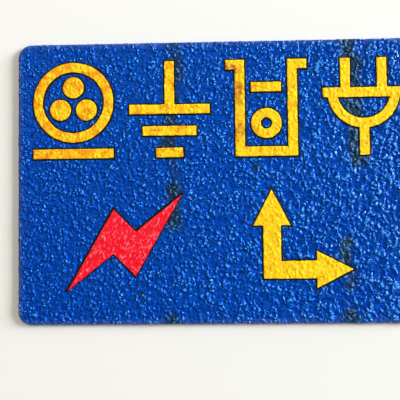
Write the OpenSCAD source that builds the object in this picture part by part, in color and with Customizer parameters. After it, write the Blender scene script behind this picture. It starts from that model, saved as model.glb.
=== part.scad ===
// Cable route ground marker: one moulded sheet, printed with signs in two coats of paint.
// The sheet lies on its underside with the print up. X runs along its length and Y up its
// face as it is read. The origin is the middle of the underside.

/* [Plate] */
// Length of the plate along X
plate_l = 150; // [148:1:180]
// Width of the plate along Y
plate_w = 105; // [102:1:130]
// Thickness of the plate over the tops of its grit
plate_t = 2; // [1.5:0.1:4]
// Radius of the four corners, seen from above
corner_r = 5; // [3:0.5:8]
// Radius that rolls the upper edge over into the flank
edge_r = 0.9; // [0.3:0.1:1.2]

/* [Paint] */
// Thickness of one coat of paint
coat_t = 0.1; // [0.05:0.05:0.3]
// Width of the black keyline that shows around every sign
keyline_w = 0.6; // [0.3:0.1:0.8]

/* [Row of signs] */
// Distance between the middles of neighbouring signs
sign_pitch = 36; // [34:0.5:37]
// Height of the row's middle above the plate's middle
sign_y = 27.2; // [26:0.1:30]
// Width of a sign
sign_w = 30; // [28:0.5:32]
// Height of a sign
sign_h = 36; // [34:0.5:38]
// Width of the painted lines in the signs
stroke_w = 3.5; // [3:0.1:4]

/* [Bolt] */
// Middle of the bolt along X
bolt_x = -35.2; // [-40:0.1:-33]
// Middle of the bolt along Y
bolt_y = -22.2; // [-26:0.1:-22]
// Distance along X between the bolt's two tips
bolt_w = 42.6; // [36:0.2:46]
// Distance along Y between the bolt's two tips
bolt_h = 35.2; // [30:0.2:38]

/* [Route arrow] */
// Where the middle lines of the two shafts meet, along X
arrow_x = 19.4; // [15:0.1:24]
// Where the middle lines of the two shafts meet, along Y
arrow_y = -32.8; // [-36:0.1:-32]
// Length of each arm, from there to the arrow's tip
arm_l = 29.5; // [26:0.5:31]
// Width of the shafts
shaft_w = 6.4; // [5:0.1:8]
// Width of the arrow heads
head_w = 13.6; // [12:0.1:15]
// Length of the arrow heads
head_l = 13.2; // [11:0.1:15]

/* [Hidden] */
$fn = 96;

plate_blue = [0.05, 0.24, 0.66];
print_black = [0.03, 0.03, 0.04];
print_yellow = [0.98, 0.80, 0.16];
print_red = [0.88, 0.10, 0.16];

// Heights at which the black coat and the colours over it begin
black_z = plate_t;
colour_z = black_z + coat_t;

// Middles of the signs along the row
cable_x = -1.5 * sign_pitch;
earth_x = -0.5 * sign_pitch;
trench_x = 0.5 * sign_pitch;
plug_x = 1.5 * sign_pitch;

// Height of a bar's middle line where the bar ends a sign, above or below
bar_y = (sign_h - stroke_w) / 2;

// Cable sign: the sheath hangs from the top of the sign, above the bar of its bed
sheath_r = sign_w / 2;
sheath_y = sign_h / 2 - sheath_r;
core_count = 3;
core_r = 0.26 * sheath_r;
core_circle_r = 0.375 * sheath_r;

// Earth sign: bars below one another, each shorter than the last
earth_bars = 3;
earth_gap = bar_y / (earth_bars - 1);

// Trench sign: the outer width between the trench's walls, and the cable and tape in it
trench_w = sign_w - 2 * stroke_w;
ledge_l = (sign_w - trench_w) / 2 + stroke_w;
buried_r = 5.6;
buried_y = -5.8;
tape_l = 2 * buried_r;
tape_y = 7.8;

// Plug sign: two pins stand on its face, and a lead leaves its round back
plug_face_y = 5.2;
plug_back_r = 13.2;
pin_gap = 13.5;
pin_l = sign_h / 2 - plug_face_y;
lead_l = sign_h / 2 + plug_face_y - plug_back_r + stroke_w / 2;

// The bolt turns into itself by half a turn, so half its outline is enough
bolt_tip = [bolt_w, bolt_h] / 2;
bolt_notch = [0.197 * bolt_tip.x, 0.227 * bolt_tip.y];
bolt_shoulder = [-0.192 * bolt_tip.x, 0.7 * bolt_tip.y];
bolt_outline = [bolt_tip, bolt_notch, bolt_shoulder, -bolt_tip, -bolt_notch, -bolt_shoulder];

// From the outer corner along the arm that points to +X, then back along the other
shaft_half = shaft_w / 2;
head_half = head_w / 2;
head_start = arm_l - head_l;
arm_outline = [
    [head_start, -shaft_half], [head_start, -head_half], [arm_l, 0],
    [head_start, head_half], [head_start, shaft_half]];
arrow_outline = concat(
    [[-shaft_half, -shaft_half]],
    arm_outline,
    [[shaft_half, shaft_half]],
    [for (i = [len(arm_outline) - 1 : -1 : 0]) [arm_outline[i].y, arm_outline[i].x]]);

// Above this the two edges at a corner meet in a point, and below it the tip is cut square
point_limit = 0.3;

function unit(v) = v / norm(v);

// The way out across an edge, on an outline that runs anticlockwise
function outward(edge) = [edge.y, -edge.x];

// A corner moved outward with the edges that come to it and leave it
function grown_corner(here, came, left, by) =
    let (sum = outward(came) + outward(left), meet = sum * sum / 2)
    meet > point_limit
        ? [here + by * sum / meet]
        : [here + by * (outward(came) + came), here + by * (outward(left) - left)];

// An outline with each of its edges moved outward
function grown(outline, by) = let (n = len(outline)) [
    for (i = [0 : n - 1])
        each grown_corner(
            outline[i],
            unit(outline[i] - outline[(i + n - 1) % n]),
            unit(outline[(i + 1) % n] - outline[i]),
            by)];

// The plate's section from a corner's axis out to the flank
module edge_section() {
    square([corner_r, plate_t - edge_r]);
    square([corner_r - edge_r, plate_t]);
    translate([corner_r - edge_r, plate_t - edge_r])
        intersection() {
            circle(edge_r);
            square(edge_r);
        }
}

module plate_corner() {
    intersection() {
        rotate_extrude() edge_section();
        cube([corner_r, corner_r, plate_t]);
    }
}

// A straight edge of the plate along X, with its flank towards +Y
module plate_side(length) {
    rotate([90, 0, 90]) linear_extrude(length) edge_section();
}

module plate() {
    side_l = plate_l - 2 * corner_r;
    side_w = plate_w - 2 * corner_r;
    color(plate_blue)
        union() {
            translate([-side_l / 2, -side_w / 2, 0]) cube([side_l, side_w, plate_t]);
            for (turn = [0, 180]) rotate(turn) {
                translate([-side_l / 2, side_w / 2, 0]) plate_side(side_l);
                translate([side_l / 2, side_w / 2, 0]) {
                    plate_corner();
                    rotate(-90) plate_side(side_w);
                }
                translate([side_l / 2, -side_w / 2, 0]) rotate(-90) plate_corner();
            }
        }
}

// Every shape below is drawn around its sign's middle and takes the keyline's width as grow
module bar(length, height, grow) {
    square([length + 2 * grow, height + 2 * grow], center = true);
}

module ring(outer_r, grow) {
    difference() {
        circle(outer_r + grow);
        circle(outer_r - stroke_w - grow);
    }
}

// A cut cable on its bed: the sheath with the cores in it
module cable_shape(grow = 0) {
    translate([0, sheath_y]) {
        ring(sheath_r, grow);
        for (i = [0 : core_count - 1])
            rotate(90 + 360 * i / core_count)
                translate([core_circle_r, 0]) circle(core_r + grow);
    }
    translate([0, -bar_y]) bar(sign_w, stroke_w, grow);
}

// Earth: a stem that comes down on the longest of the bars
module earth_shape(grow = 0) {
    stem_l = (sign_h + stroke_w) / 2;
    translate([0, (sign_h - stem_l) / 2]) bar(stroke_w, stem_l, grow);
    for (i = [0 : earth_bars - 1])
        translate([0, -i * earth_gap]) bar(sign_w * (1 - i / earth_bars), stroke_w, grow);
}

// A trench in the ground, with a cable in it and a tape over the cable
module trench_shape(grow = 0) {
    translate([0, -bar_y]) bar(trench_w, stroke_w, grow);
    for (side = [-1, 1]) {
        translate([side * (trench_w - stroke_w) / 2, 0]) bar(stroke_w, sign_h, grow);
        translate([side * (sign_w - ledge_l) / 2, bar_y]) bar(ledge_l, stroke_w, grow);
    }
    translate([0, buried_y]) ring(buried_r, grow);
    translate([0, tape_y]) bar(tape_l, stroke_w, grow);
}

// A plug seen from the side, with its pins up
module plug_shape(grow = 0) {
    reach = plug_back_r + grow;
    for (side = [-1, 1])
        translate([side * pin_gap / 2, (sign_h - pin_l) / 2]) bar(stroke_w, pin_l, grow);
    translate([0, plug_face_y]) {
        bar(sign_w, stroke_w, grow);
        intersection() {
            ring(plug_back_r, grow);
            translate([-reach, -reach]) square([2 * reach, reach]);
        }
    }
    translate([0, (lead_l - sign_h) / 2]) bar(stroke_w, lead_l, grow);
}

module bolt_shape(grow = 0) polygon(grown(bolt_outline, grow));

module arrow_shape(grow = 0) polygon(grown(arrow_outline, grow));

// One coat of paint whose underside is at height z
module coat(z) translate([0, 0, z]) linear_extrude(coat_t) children();

module at_cable() translate([cable_x, sign_y]) children();
module at_earth() translate([earth_x, sign_y]) children();
module at_trench() translate([trench_x, sign_y]) children();
module at_plug() translate([plug_x, sign_y]) children();
module at_bolt() translate([bolt_x, bolt_y]) children();
module at_arrow() translate([arrow_x, arrow_y]) children();

// The black coat lies under each colour and shows around it
module keyline() {
    color(print_black)
        coat(black_z) {
            at_cable() cable_shape(keyline_w);
            at_earth() earth_shape(keyline_w);
            at_trench() trench_shape(keyline_w);
            at_plug() plug_shape(keyline_w);
            at_bolt() bolt_shape(keyline_w);
            at_arrow() arrow_shape(keyline_w);
        }
}

module cable_sign() color(print_yellow) coat(colour_z) at_cable() cable_shape();
module earth_sign() color(print_yellow) coat(colour_z) at_earth() earth_shape();
module trench_sign() color(print_yellow) coat(colour_z) at_trench() trench_shape();
module plug_sign() color(print_yellow) coat(colour_z) at_plug() plug_shape();
module bolt_sign() color(print_red) coat(colour_z) at_bolt() bolt_shape();
module route_arrow() color(print_yellow) coat(colour_z) at_arrow() arrow_shape();

plate();
keyline();
cable_sign();
earth_sign();
trench_sign();
plug_sign();
bolt_sign();
route_arrow();
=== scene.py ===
"""Dresses the cable route ground marker: a moulded sheet with a gritty face, printed with signs.

Design values are in millimetres, and MM turns them into metres where a mesh or a lamp is made.
"""

import math

import bmesh
import bpy
import numpy as np
from mathutils import Euler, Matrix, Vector
from mathutils.bvhtree import BVHTree


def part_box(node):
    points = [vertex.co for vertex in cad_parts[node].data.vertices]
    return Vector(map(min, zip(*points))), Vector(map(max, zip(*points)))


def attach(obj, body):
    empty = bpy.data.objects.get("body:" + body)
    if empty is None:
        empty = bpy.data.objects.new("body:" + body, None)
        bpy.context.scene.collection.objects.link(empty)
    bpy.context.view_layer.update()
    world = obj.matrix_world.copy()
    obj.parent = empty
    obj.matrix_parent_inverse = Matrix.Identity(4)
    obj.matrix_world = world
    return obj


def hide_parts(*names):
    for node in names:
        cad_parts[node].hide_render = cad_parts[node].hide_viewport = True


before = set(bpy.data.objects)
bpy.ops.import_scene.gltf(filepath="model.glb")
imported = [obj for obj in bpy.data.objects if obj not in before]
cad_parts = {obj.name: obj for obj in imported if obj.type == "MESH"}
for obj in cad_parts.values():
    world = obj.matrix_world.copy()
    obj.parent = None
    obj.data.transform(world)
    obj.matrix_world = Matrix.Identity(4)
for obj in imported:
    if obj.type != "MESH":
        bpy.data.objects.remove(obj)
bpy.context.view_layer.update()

MM = 0.001

# Sheet: its size comes from the frame, and its face is laid out on a grid of lines
plate_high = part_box("plate")[1]
HALF_L = plate_high.x / MM
HALF_W = plate_high.y / MM
PLATE_T = plate_high.z / MM
CORNER_R = 5.0
EDGE_R = 0.9
SHEET_PITCH = 0.42
ROLL_STEPS = 5
FLANK_ROWS = 2

# Floor: how far it reaches to each side, and how far it comes in under the sheet's rim
FLOOR_HALF = 1500
UNDER_RIM = 1.6

# Grit: domes and folds, crowded in some places and sparse in others, over rolling ground. The
# lowest ground lies at FACE_Z, and the tallest domes stand GRIT_DEPTH above it
GRIT_DEPTH = 0.45
FACE_Z = PLATE_T - GRIT_DEPTH
DOME_CELL = 1.3
DOME_STRETCH = 1.2
DOME_LEAN = math.radians(12)
DOME_STIR = 1.6
DOME_RISE = 1.12
DOME_SLOPE = 1.8
DOME_SHARE = 0.75
FOLD_CELL = 3.4
FOLD_SLOPE = 7
FOLD_SHARE = 0.5
CROWD_SIZE = 4.5
LEAST_CROWD = 0.25
GROUND_SIZE = 1.5
GROUND_SHARE = 0.5
GROUND_SINK = 0.05
# How much larger the domes are at the right end than in the middle
COARSER_RIGHT = 0.08
# How much the grit changes with height, on the flanks, against how it changes across the face
Z_FOLLOW = 0.15
# How much of the grit's depth is left where the face has rolled over into the flank
FLANK_FOLLOW = 0.25
# How much of the grit's shading is lost for each radian of the roll
SHADING_LOSS = 0.4
# Height from 0 to 1 at which plastic without grit is shaded
PLAIN_HEIGHT = 0.35

# Print: coats on a grid of lines, draped over the grit, which shows through them in part. They
# are thinner along their borders, their outlines waver, and the colours are out of register
PAINT_PITCH = 0.34
PAINT_LIFT = 0.07
PAINT_FOLLOW = 0.35
PAINT_T = 0.06
PAINT_EDGE_T = PAINT_T / 3
UNDER_PAINT_FOLLOW = 0.4
OUTLINE_WOBBLE = 0.09
WOBBLE_SIZE = 1.7
SIGN_SHIFT = (-0.08, 0.06)
ARROW_SHIFT = (-0.05, 0.05)
BOLT_SHIFT = (0.12, -0.14)

# Charcoal marks that run down the sheet: x and y of the upper end, x and y of the lower end,
# half width and strength
STRAP_MARKS = (
    (-15.2, 52.5, -18.3, 12.0, 2.5, 0.95),
    (-16.6, 11.0, -16.8, 1.0, 1.8, 0.45),
    (-17.0, -2.0, -16.2, -16.5, 2.2, 1.0),
    (49.0, 52.5, 51.4, 8.0, 2.9, 1.3),
    (47.3, -23.0, 46.5, -38.0, 2.2, 0.9),
)

# Small charcoal stains: x, y, half width, half height and strength
STAINS = (
    (-17.9, -50.4, 2.2, 2.4, 0.8),
    (-16.8, -14.8, 2.4, 1.6, 1.0),
    (-29.1, -41.0, 1.0, 0.9, 1.4),
    (13.8, 5.2, 1.0, 1.5, 0.9),
    (47.8, -49.8, 3.0, 2.4, 0.95),
)

# How many half widths away from its middle a mark or a stain fades out
FADED_AT = 1.5

# Width of the border along the rim where a painted sheen makes the sheet paler, and size of the
# patches in it
RIM_SHEEN_W = 2.5
RIM_SHEEN_PATCH = 1.5

# Places where the yellow has browned: x, y, half width, half height and strength
BROWNED = (
    (4.6, 41.4, 3.0, 2.4, 1.0),
    (7.6, 33.0, 1.6, 5.0, 0.8),
    (8.2, 20.0, 1.8, 4.0, 0.7),
)


def drift(x, y, size, seed, cells=97):
    """Smooth noise from -1 to 1 on cells of size millimetres, which repeats beyond that many cells."""
    lattice = np.random.default_rng(seed).uniform(-1, 1, (cells, cells))
    u, v = x / size, y / size
    column, row = np.floor(u).astype(int), np.floor(v).astype(int)
    u, v = u - column, v - row
    u, v = u * u * (3 - 2 * u), v * v * (3 - 2 * v)
    left, right = column % cells, (column + 1) % cells
    low, high = row % cells, (row + 1) % cells
    below = lattice[left, low] * (1 - u) + lattice[right, low] * u
    above = lattice[left, high] * (1 - u) + lattice[right, high] * u
    return below * (1 - v) + above * v


def spots(x, y, places, seed):
    """How strongly each point is marked by the listed spots, whose edges are ragged."""
    ragged = 0.45 * drift(x, y, 0.9, seed) + 0.3 * drift(x, y, 2.1, seed + 1)
    mark = np.zeros_like(x)
    for at_x, at_y, half_x, half_y, strength in places:
        away = np.hypot((x - at_x) / half_x, (y - at_y) / half_y)
        mark = np.maximum(mark, strength * np.clip(FADED_AT - away + ragged, 0, 1))
    return mark


def strap_marks(x, y, seed):
    """How strongly each point is marked by the charcoal bands, which are patchy and stray a little."""
    ragged = 0.5 * drift(x, y, 1.1, seed) + 0.4 * drift(x, y, 3.2, seed + 1)
    stray = 1.1 * drift(0 * y, y, 7, seed + 2)
    patchy = np.clip(0.9 + 0.6 * drift(x, y, 5, seed + 3), 0, 1)
    mark = np.zeros_like(x)
    for upper_x, upper_y, lower_x, lower_y, half, strength in STRAP_MARKS:
        along = (upper_y - y) / (upper_y - lower_y)
        middle = upper_x + (lower_x - upper_x) * np.clip(along, 0, 1) + stray
        beyond = np.maximum(y - upper_y, lower_y - y).clip(0)
        away = np.hypot((x - middle) / half, beyond / half)
        mark = np.maximum(mark, strength * patchy * np.clip(FADED_AT - away + ragged, 0, 1))
    return mark


class Value:
    """A socket that carries a number. Sums and products on it add Math nodes."""

    def __init__(self, nodes, socket):
        self.nodes = nodes
        self.socket = socket

    def maths(self, operation, first, second, clamp=False):
        settings = {"operation": operation, "use_clamp": clamp}
        node = self.nodes.node("ShaderNodeMath", settings, {0: first, 1: second})
        return Value(self.nodes, node.outputs[0])

    def __add__(self, other):
        return self.maths("ADD", self, other)

    def __sub__(self, other):
        return self.maths("SUBTRACT", self, other)

    def __rsub__(self, other):
        return self.maths("SUBTRACT", other, self)

    def __mul__(self, other):
        return self.maths("MULTIPLY", self, other)

    def held(self):
        """The same number, kept between 0 and 1."""
        return self.maths("ADD", self, 0, clamp=True)

    def eased(self):
        """The same number from 0 to 1, levelled off towards both ends."""
        return self * self * (3 - 2 * self)

    __radd__ = __add__
    __rmul__ = __mul__


class Nodes:
    """A tree of nodes that works things out from a place on the marker."""

    def __init__(self, tree):
        self.tree = tree

    def node(self, kind, settings=None, inputs=None):
        """Adds a node with its settings and the values or links of its sockets."""
        node = self.tree.nodes.new(kind)
        for name, setting in (settings or {}).items():
            setattr(node, name, setting)
        for key, value in (inputs or {}).items():
            self.feed(node.inputs[key], value)
        return node

    def feed(self, socket, value):
        if isinstance(value, Value):
            self.tree.links.new(value.socket, socket)
        elif isinstance(value, bpy.types.NodeSocket):
            self.tree.links.new(value, socket)
        else:
            socket.default_value = value

    def vectors(self, operation, *vectors):
        """Vector maths on sockets or plain triples."""
        node = self.node("ShaderNodeVectorMath", {"operation": operation}, dict(enumerate(vectors)))
        return node.outputs[0]

    def noise(self, size, detail=2.0, offset=0.0, place=None):
        """Noise from 0 to 1 that changes over about size millimetres.

        Noises with different offsets, in metres, don't follow one another.
        """
        moved = self.vectors("ADD", place or self.place, (offset, 0, 0))
        node = self.node(
            "ShaderNodeTexNoise", inputs={"Vector": moved, "Scale": 1 / (size * MM), "Detail": detail}
        )
        return Value(self, node.outputs["Fac"])

    def laid(self, place, across, along):
        """A place measured in lengths of a pattern that leans and gets coarser to the right."""
        finer = 1 - COARSER_RIGHT * self.from_middle(place)
        scaled = self.node(
            "ShaderNodeVectorMath", {"operation": "SCALE"}, {0: place, "Scale": finer}
        )
        turned = self.node(
            "ShaderNodeVectorRotate", {"rotation_type": "Z_AXIS"},
            {"Vector": scaled.outputs[0], "Angle": DOME_LEAN},
        )
        return self.vectors("DIVIDE", turned.outputs[0], (across * MM, along * MM, across * MM))

    def from_middle(self, place):
        """How far to the right of the middle a place lies: 1 is the right end."""
        apart = self.node("ShaderNodeSeparateXYZ", inputs={0: place})
        return 1 / (HALF_L * MM) * Value(self, apart.outputs["X"])

    def grit(self, place):
        """The moulded grit at a place: 0 on the lowest ground, and 1 on the tallest domes.

        Folds run between groups of domes, and fade out towards the left end.
        """
        laid = self.laid(place, DOME_CELL, DOME_CELL * DOME_STRETCH)
        stir = self.node("ShaderNodeTexNoise", inputs={"Vector": laid, "Scale": 0.5, "Detail": 1.5})
        stirred = self.vectors("MULTIPLY_ADD", stir.outputs["Color"], (DOME_STIR, DOME_STIR, 0), laid)
        cells = self.node("ShaderNodeTexVoronoi", inputs={"Vector": stirred, "Scale": 1.0})
        dome = (DOME_RISE - DOME_SLOPE * Value(self, cells.outputs["Distance"])).held().eased()
        edges = self.node(
            "ShaderNodeTexVoronoi", {"feature": "DISTANCE_TO_EDGE"},
            {"Vector": stirred, "Scale": DOME_CELL / FOLD_CELL},
        )
        fold = (1 - FOLD_SLOPE * Value(self, edges.outputs["Distance"])).held().eased()
        folded = (0.45 + 0.55 * self.from_middle(place)).held()
        crowd = (4.5 * self.noise(CROWD_SIZE, offset=0.3, place=place) - 1.6).held()
        crowded = LEAST_CROWD + (1 - LEAST_CROWD) * crowd
        ground = self.noise(GROUND_SIZE, detail=2, offset=0.5, place=place)
        raised = (DOME_SHARE * dome + FOLD_SHARE * fold * folded) * crowded
        return (raised + GROUND_SHARE * ground - GROUND_SINK).held()


class Moulding(Nodes):
    """A modifier that gives every point of a mesh the grit's height there."""

    def __init__(self):
        tree = bpy.data.node_groups.new("moulding", "GeometryNodeTree")
        for way in ("INPUT", "OUTPUT"):
            tree.interface.new_socket("Geometry", in_out=way, socket_type="NodeSocketGeometry")
        super().__init__(tree)
        self.place = self.node("GeometryNodeInputPosition").outputs[0]
        stored = self.node(
            "GeometryNodeStoreNamedAttribute", {"data_type": "FLOAT", "domain": "POINT"},
            {
                "Geometry": self.node("NodeGroupInput").outputs[0],
                "Name": "grit",
                "Value": self.grit(self.place),
            },
        )
        self.node("NodeGroupOutput", inputs={0: stored.outputs[0]})

    def heights(self, x, y):
        """The grit's height, from 0 to 1, at points given in millimetres."""
        points = np.stack([x.ravel(), y.ravel(), 0 * x.ravel()], axis=1) * MM
        mesh = bpy.data.meshes.new("probe")
        mesh.vertices.add(len(points))
        mesh.vertices.foreach_set("co", points.ravel())
        probe = bpy.data.objects.new("probe", mesh)
        bpy.context.scene.collection.objects.link(probe)
        probe.modifiers.new("moulding", "NODES").node_group = self.tree
        moulded = probe.evaluated_get(bpy.context.evaluated_depsgraph_get())
        heights = np.empty(len(points), np.float32)
        moulded.data.attributes["grit"].data.foreach_get("value", heights)
        bpy.data.objects.remove(probe)
        return heights.reshape(x.shape).astype(float)


class Finish(Nodes):
    """A material while it is being made."""

    def __init__(self, name):
        self.material = bpy.data.materials.new(name)
        self.material.use_nodes = True
        super().__init__(self.material.node_tree)
        self.shader = self.tree.nodes["Principled BSDF"]
        self.place = self.node("ShaderNodeTexCoord").outputs["Object"]

    def stored(self, name):
        """The number that a piece holds at each of its points under this name."""
        node = self.node("ShaderNodeAttribute", {"attribute_name": name})
        return Value(self, node.outputs["Fac"])

    def mix(self, share, first, second):
        """A colour between two colours."""
        node = self.node(
            "ShaderNodeMix", {"data_type": "RGBA"}, {0: share, 6: first, 7: second}
        )
        return node.outputs[2]

    def grit_below(self):
        """The grit's height under this point of the face."""
        face_z = (0, 0, -Z_FOLLOW * FACE_Z * MM)
        return self.grit(self.vectors("MULTIPLY_ADD", self.place, (1, 1, Z_FOLLOW), face_z))

    def bump(self, height, depth):
        """A normal from a height between 0 and 1 that spans depth in millimetres."""
        node = self.node("ShaderNodeBump", inputs={"Height": height, "Distance": depth * MM})
        return node.outputs["Normal"]

    def shade(self, **sockets):
        """Feeds the shader's sockets and gives the finished material."""
        for name, value in sockets.items():
            self.feed(self.shader.inputs[name.replace("_", " ")], value)
        return self.material


moulding = Moulding()


def make_mesh(name, points, faces, sharp_degrees):
    """A smooth-shaded mesh object from points in millimetres."""
    mesh = bpy.data.meshes.new(name)
    mesh.from_pydata(points * MM, [], faces)
    mesh.shade_smooth()
    mesh.set_sharp_from_angle(angle=math.radians(sharp_degrees))
    piece = bpy.data.objects.new(name, mesh)
    bpy.context.scene.collection.objects.link(piece)
    return piece


def paint_values(piece, name, values):
    """Stores one number for each point of a piece, for its material to read."""
    layer = piece.data.attributes.new(name, "FLOAT", "POINT")
    layer.data.foreach_set("value", values.astype(np.float32))


def half_lines(half):
    """Grid lines from the middle to one edge: their places, their places unrolled, and their roll."""
    flat = half - EDGE_R
    level = np.linspace(0, flat, math.ceil(flat / SHEET_PITCH) + 1)
    roll = np.linspace(0, math.pi / 2, ROLL_STEPS + 1)[1:]
    place = np.concatenate([level, flat + EDGE_R * np.sin(roll)])
    unrolled = np.concatenate([level, flat + EDGE_R * roll])
    return place, unrolled, np.concatenate([0 * level, roll])


def both_ways(values, sign):
    """Values from the middle to one edge, mirrored to run from edge to edge."""
    return np.concatenate([sign * values[:0:-1], values])


def round_corners(x, y):
    """Moves the grid's points in the four corner squares onto quarter discs."""
    over_x = np.abs(x) - (HALF_L - CORNER_R)
    over_y = np.abs(y) - (HALF_W - CORNER_R)
    corner = (over_x > 0) & (over_y > 0)
    over_x, over_y = over_x[corner], over_y[corner]
    reach = np.maximum(over_x, over_y)
    share = np.where(over_x > over_y, over_y / reach, 2 - over_x / reach)
    turn = share * math.pi / 4
    x, y = x.copy(), y.copy()
    x[corner] = np.sign(x[corner]) * (HALF_L - CORNER_R + reach * np.cos(turn))
    y[corner] = np.sign(y[corner]) * (HALF_W - CORNER_R + reach * np.sin(turn))
    return x, y


def grid_of(lines_x, lines_y):
    """The points where the grid's lines cross, with the sheet's corners rounded."""
    x, y = np.meshgrid(lines_x, lines_y, indexing="ij")
    return round_corners(x, y)


def polygons_of(mesh):
    """A mesh's points, and the points of each of its polygons."""
    return [v.co for v in mesh.vertices], [list(p.vertices) for p in mesh.polygons]


def under_paint(x, y):
    """Which points of the sheet's grid lie inside the black coat or just beside it."""
    coat = BVHTree.FromPolygons(*polygons_of(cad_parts["keyline"].data))
    down, over = Vector((0, 0, -1)), 10 * MM
    hits = [
        coat.ray_cast(Vector((at_x * MM, at_y * MM, over)), down)[0] is not None
        for at_x, at_y in zip(x.ravel(), y.ravel())
    ]
    inside = np.array(hits).reshape(x.shape)
    near = inside.copy()
    for axis in (0, 1):
        for step in (-1, 1):
            near |= np.roll(inside, step, axis)
    return near


def make_sheet():
    """The blue sheet: a gritty face that rolls over into a flank, and a flat underside."""
    place_x, unrolled_x, roll_x = half_lines(HALF_L)
    place_y, unrolled_y, roll_y = half_lines(HALF_W)
    x, y = grid_of(both_ways(place_x, -1), both_ways(place_y, -1))
    flat_x, flat_y = grid_of(both_ways(unrolled_x, -1), both_ways(unrolled_y, -1))
    roll = np.maximum(both_ways(roll_x, 1)[:, None], both_ways(roll_y, 1)[None, :])

    bumps = moulding.heights(flat_x, flat_y)
    unpainted = 1 - (1 - FLANK_FOLLOW) * (roll / (math.pi / 2)) ** 2
    lift = GRIT_DEPTH * bumps * np.where(under_paint(x, y), UNDER_PAINT_FOLLOW, unpainted)
    out_x = np.sign(x) * np.clip(np.abs(x) - (HALF_L - CORNER_R), 0, None)
    out_y = np.sign(y) * np.clip(np.abs(y) - (HALF_W - CORNER_R), 0, None)
    out = np.maximum(np.hypot(out_x, out_y), 1e-9)
    x = x + lift * np.sin(roll) * out_x / out
    y = y + lift * np.sin(roll) * out_y / out
    z = FACE_Z - EDGE_R * (1 - np.cos(roll)) + lift * np.cos(roll)

    columns, rows = x.shape
    index = np.arange(columns * rows).reshape(columns, rows)
    faces = np.stack(
        [index[:-1, :-1], index[1:, :-1], index[1:, 1:], index[:-1, 1:]], axis=-1
    ).reshape(-1, 4).tolist()
    points = [np.stack([x.ravel(), y.ravel(), z.ravel()], axis=1)]
    rim = np.concatenate([index[:-1, 0], index[-1, :-1], index[:0:-1, -1], index[0, :0:-1]])
    rim_x, rim_y, rim_z = x.ravel()[rim], y.ravel()[rim], z.ravel()[rim]
    upper = rim
    for row in range(1, FLANK_ROWS + 1):
        left = 1 - row / FLANK_ROWS
        lower = columns * rows + (row - 1) * len(rim) + np.arange(len(rim))
        points.append(np.stack([rim_x, rim_y, rim_z * left], axis=1))
        faces += np.stack(
            [lower, np.roll(lower, -1), np.roll(upper, -1), upper], axis=1
        ).tolist()
        upper = lower
    faces.append(upper[::-1].tolist())

    sheet = make_mesh("gritty_sheet", np.concatenate(points), faces, sharp_degrees=60)
    inset = np.minimum(HALF_L - np.abs(x), HALF_W - np.abs(y))
    patches = 0.75 + 0.5 * drift(flat_x, flat_y, RIM_SHEEN_PATCH, seed=41)
    surface = {
        "moulded": 1 - SHADING_LOSS * roll,
        "stain": np.maximum(
            spots(flat_x, flat_y, STAINS, seed=31), strap_marks(flat_x, flat_y, seed=35)
        ),
        # The last value marks a painted sheen along the rim, in patches: reflected light put into the
        # colour.
        "rim_sheen": np.clip(1 - inset / RIM_SHEEN_W, 0, 1) * patches,
    }
    flanks = np.zeros(FLANK_ROWS * len(rim))
    for name, values in surface.items():
        paint_values(sheet, name, np.concatenate([values.ravel(), flanks]))
    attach(sheet, "root")
    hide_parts("plate")
    return sheet


def top_of(node):
    """The upper faces of a printed field, as one flat mesh."""
    field = bmesh.new()
    field.from_mesh(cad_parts[node].data)
    bmesh.ops.remove_doubles(field, verts=field.verts, dist=1e-3 * MM)
    lower = [face for face in field.faces if face.normal.z < 0.5]
    bmesh.ops.delete(field, geom=lower, context="FACES")
    bmesh.ops.dissolve_limit(
        field, angle_limit=math.radians(0.1), verts=field.verts, edges=field.edges
    )
    return field


def cut_to_grid(field):
    """Cuts a flat mesh along the lines of a square grid, and leaves its outline as it is."""
    for axis in (0, 1):
        across = Vector((1 - axis, axis, 0))
        reach = [vertex.co[axis] for vertex in field.verts]
        first = math.ceil(min(reach) / (PAINT_PITCH * MM))
        last = math.floor(max(reach) / (PAINT_PITCH * MM))
        for line in range(first, last + 1):
            everything = field.verts[:] + field.edges[:] + field.faces[:]
            bmesh.ops.bisect_plane(
                field,
                geom=everything,
                dist=1e-4 * MM,
                plane_co=across * line * PAINT_PITCH * MM,
                plane_no=across,
            )


def make_coat(name, node, finish, shift, seed, coats_under=1):
    """A coat of paint in the outline of its CAD node, draped over the grit."""
    field = top_of(node)
    cut_to_grid(field)
    field.verts.index_update()
    plan = np.array([vertex.co[:2] for vertex in field.verts]) / MM
    top_faces = [[vertex.index for vertex in face.verts] for face in field.faces]
    border = [
        (edge.link_loops[0].vert.index, edge.link_loops[0].link_loop_next.vert.index)
        for edge in field.edges
        if edge.is_boundary
    ]
    field.free()

    wobble = np.stack([drift(*plan.T, WOBBLE_SIZE, seed + axis) for axis in (0, 1)], axis=1)
    plan = plan + OUTLINE_WOBBLE * wobble + np.array(shift)
    bumps = moulding.heights(*plan.T)
    level = FACE_Z + PAINT_LIFT + PAINT_FOLLOW * GRIT_DEPTH * bumps + coats_under * PAINT_T
    thick = np.full(len(plan), PAINT_T)
    thick[np.unique(border)] = PAINT_EDGE_T
    upper = np.column_stack([plan, level + thick])
    lower = np.column_stack([plan, level - PAINT_T])
    count = len(plan)
    faces = top_faces + [[index + count for index in face[::-1]] for face in top_faces]
    faces += [[start, start + count, end + count, end] for start, end in border]

    coat = make_mesh(name, np.concatenate([upper, lower]), faces, sharp_degrees=50)
    paint_values(coat, "browned", np.tile(spots(*plan.T, BROWNED, seed=47), 2))
    coat.data.materials.append(finish)
    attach(coat, "root")
    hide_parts(node)


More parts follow.
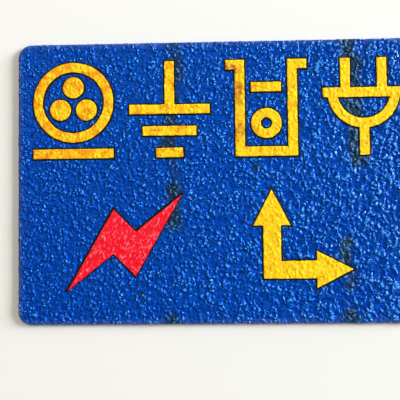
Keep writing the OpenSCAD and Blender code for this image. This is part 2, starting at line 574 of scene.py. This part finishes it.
def blue_plastic():
    """Moulded blue plastic, charcoal in its stains, with painted shade in the grit's hollows, painted
    highlights paler on top of the domes, and a painted sheen along the rim.
    """
    finish = Finish("blue_plastic")
    height = PLAIN_HEIGHT + (finish.grit_below() - PLAIN_HEIGHT) * finish.stored("moulded")
    grain = finish.noise(0.8, detail=1)
    stain = finish.stored("stain")
    shown = height + 0.5 * (grain - 0.5)
    # Painted shade and highlights: the low ground between the domes is darkened as shade in the
    # hollows, and the tops of the tallest domes are paler as highlights.
    clear_of_hollow_shade, painted_highlight_share = (3.5 * shown - 0.3).held(), (3.5 * shown - 2.4).held()
    ground, blue, pale = (0.0, 0.019, 0.26, 1), (0.0, 0.06, 0.43, 1), (0.035, 0.25, 0.69, 1)
    face = finish.mix(painted_highlight_share, finish.mix(clear_of_hollow_shade, ground, blue), pale)
    # Painted sheen: towards the rim the blue turns paler, standing for light that the rolled edge
    # reflects.
    rim_sheen_blue = (0.09, 0.16, 0.38, 1)
    face = finish.mix(0.5 * finish.stored("rim_sheen"), face, rim_sheen_blue)
    # Charcoal in the stains, with paler ash on the tall domes in them: partly wear, partly painted
    # highlight.
    charcoal, ash_and_highlight = (0.009, 0.02, 0.05, 1), (0.03, 0.09, 0.2, 1)
    soot = finish.mix((4 * shown - 1.6).held(), charcoal, ash_and_highlight)
    sooty = (1.3 * stain * (0.4 + grain)).held()
    face = finish.mix(sooty, face, soot)
    return finish.shade(
        Base_Color=face,
        Roughness=0.16 + 0.28 * stain,
        Specular_IOR_Level=0.56,
        Specular_Tint=(0.09, 0.5, 1.0, 1),
        Normal=finish.bump(height + 0.35 * grain, 0.85),
    )


def yellow_paint():
    """Yellow paint, mottled with orange where it lies thin and turned orange in the grit's hollows as
    painted shade, with less orange towards the right end, and browned in places.
    """
    finish = Finish("yellow_print")
    cloud = finish.noise(2.6, detail=3)
    fleck = finish.noise(0.8, detail=2, offset=0.2)
    height = finish.grit_below()
    # The last term is painted shade: the lower the grit under the paint, the more it turns orange.
    mottling_and_hollow_shade = 3.6 * (cloud - 0.53) + 2.8 * (fleck - 0.5) + 0.6 * (0.4 - height)
    orange_share = (mottling_and_hollow_shade - 0.45 * finish.from_middle(finish.place)).held()
    yellow, orange = (0.98, 0.59, 0.006, 1), (0.87, 0.29, 0.005, 1)
    lemon, brown = (1.0, 0.78, 0.04, 1), (0.5, 0.12, 0.02, 1)
    face = finish.mix((4 * (fleck - 0.45)).held(), yellow, lemon)
    face = finish.mix((1.4 * orange_share).held(), face, orange)
    browned = finish.stored("browned") * (2.4 * (cloud - 0.5) + 2.0 * (fleck - 0.5) + 0.75)
    face = finish.mix(browned.held(), face, brown)
    return finish.shade(
        Base_Color=face,
        Roughness=0.5 - 0.12 * fleck,
        Specular_IOR_Level=0.2,
        Specular_Tint=(1.0, 0.85, 0.45, 1),
        Normal=finish.bump(0.5 * height + 0.4 * fleck, 0.25),
    )


def red_paint():
    """Glossy red paint, with streaky pink highlights painted into its colour over the grit under it,
    besides the highlights that its bumps catch.
    """
    finish = Finish("red_print")
    cloud = finish.noise(1.1, detail=3)
    height = finish.grit_below()
    place = finish.laid(finish.place, 0.7, 1.4)
    streaks = finish.node("ShaderNodeTexNoise", inputs={"Vector": place, "Scale": 1.0, "Detail": 2.0})
    streak = Value(finish, streaks.outputs["Fac"])
    deep, bright, painted_highlight_pink = (0.84, 0.002, 0.012, 1), (1.0, 0.009, 0.03, 1), (1.0, 0.17, 0.23, 1)
    face = finish.mix((4 * (cloud - 0.4)).held(), deep, bright)
    # Painted highlights: pink streaks, more of them where the grit under the paint is taller.
    face = finish.mix((6 * (streak - 0.53) + 0.8 * (height - 0.4)).held(), face, painted_highlight_pink)
    return finish.shade(
        Base_Color=face,
        Roughness=0.34 - 0.14 * cloud,
        Specular_IOR_Level=0.5,
        Specular_Tint=(1.0, 0.4, 0.46, 1),
        Normal=finish.bump(0.3 * height + 0.5 * streak, 0.25),
    )


def black_paint():
    """Thin black paint."""
    finish = Finish("black_print")
    fleck = finish.noise(0.5)
    black, worn = (0.001, 0.001, 0.002, 1), (0.008, 0.008, 0.011, 1)
    return finish.shade(
        Base_Color=finish.mix(fleck, black, worn),
        Roughness=0.6 - 0.1 * fleck,
        Specular_IOR_Level=0.12,
        Normal=finish.bump(fleck, 0.03),
    )


def pale_paper():
    """The surface that the marker lies on."""
    finish = Finish("pale_paper")
    return finish.shade(Base_Color=(0.885, 0.873, 0.845, 1), Roughness=0.9, Specular_IOR_Level=0.1)


def make_print():
    """The black coat first, then the colours over it, each a little out of register."""
    yellow, red, black = yellow_paint(), red_paint(), black_paint()
    make_coat("keyline_coat", "keyline", black, (0, 0), seed=61, coats_under=0)
    for number, sign in enumerate(("cable_sign", "earth_sign", "trench_sign", "plug_sign")):
        make_coat(sign + "_coat", sign, yellow, SIGN_SHIFT, seed=71 + 2 * number)
    make_coat("route_arrow_coat", "route_arrow", yellow, ARROW_SHIFT, seed=81)
    make_coat("bolt_coat", "bolt_sign", red, BOLT_SHIFT, seed=91)


def make_floor():
    """A pale floor, open below the middle of the sheet so that light reaches the underside."""
    rings = ((FLOOR_HALF, FLOOR_HALF), (HALF_L - UNDER_RIM, HALF_W - UNDER_RIM))
    corners = [
        (x * half_x * MM, y * half_y * MM, 0)
        for half_x, half_y in rings
        for x, y in ((-1, -1), (1, -1), (1, 1), (-1, 1))
    ]
    sides = [(start, (start + 1) % 4, (start + 1) % 4 + 4, start + 4) for start in range(4)]
    mesh = bpy.data.meshes.new("floor")
    mesh.from_pydata(corners, [], sides)
    floor = bpy.data.objects.new("floor", mesh)
    bpy.context.scene.collection.objects.link(floor)
    mesh.materials.append(pale_paper())


def make_lamp(name, place, size, energy, colour):
    """An area lamp that faces the marker's middle, with its size across and up."""
    lamp = bpy.data.lights.new(name, "AREA")
    lamp.shape = "RECTANGLE"
    lamp.size, lamp.size_y = size[0] * MM, size[1] * MM
    lamp.energy = energy
    lamp.color = colour
    holder = bpy.data.objects.new(name, lamp)
    holder.location = Vector(place) * MM
    holder.rotation_euler = (-Vector(place)).to_track_quat("-Z", "Y").to_euler()
    bpy.context.scene.collection.objects.link(holder)


def make_light():
    """Cool light from a window low at the right, with a narrow bright tube in front of it.

    A faint door stands above the upper left, and the world adds a warm, even fill.
    """
    make_lamp("window", (2340, 735, 640), (1200, 1350), energy=131, colour=(0.86, 0.94, 1.0))
    make_lamp("tube", (2070, 645, 710), (144, 900), energy=27, colour=(0.9, 0.97, 1.0))
    make_lamp("door", (-340, 400, 740), (450, 450), energy=1.8, colour=(1.0, 0.95, 0.9))
    world = bpy.data.worlds.new("room")
    bpy.context.scene.world = world
    world.use_nodes = True
    sky = world.node_tree.nodes["Background"]
    sky.inputs["Color"].default_value = (1.0, 0.9, 0.76, 1)
    sky.inputs["Strength"].default_value = 0.36


def make_camera():
    """Straight above the marker but for a few degrees, with the right end out of the picture."""
    lens = bpy.data.cameras.new("camera")
    lens.lens = 50
    lens.sensor_width = 36
    camera = bpy.data.objects.new("camera", lens)
    camera.location = Vector((-1.53, -14.58, 207.0)) * MM
    camera.rotation_euler = Euler(map(math.radians, (2.148, 1.557, -0.64)))
    bpy.context.scene.collection.objects.link(camera)
    bpy.context.scene.camera = camera


make_camera()
make_light()
make_floor()
sheet = make_sheet()
sheet.data.materials.append(blue_plastic())
make_print()
bpy.context.scene.view_settings.view_transform = "Standard"
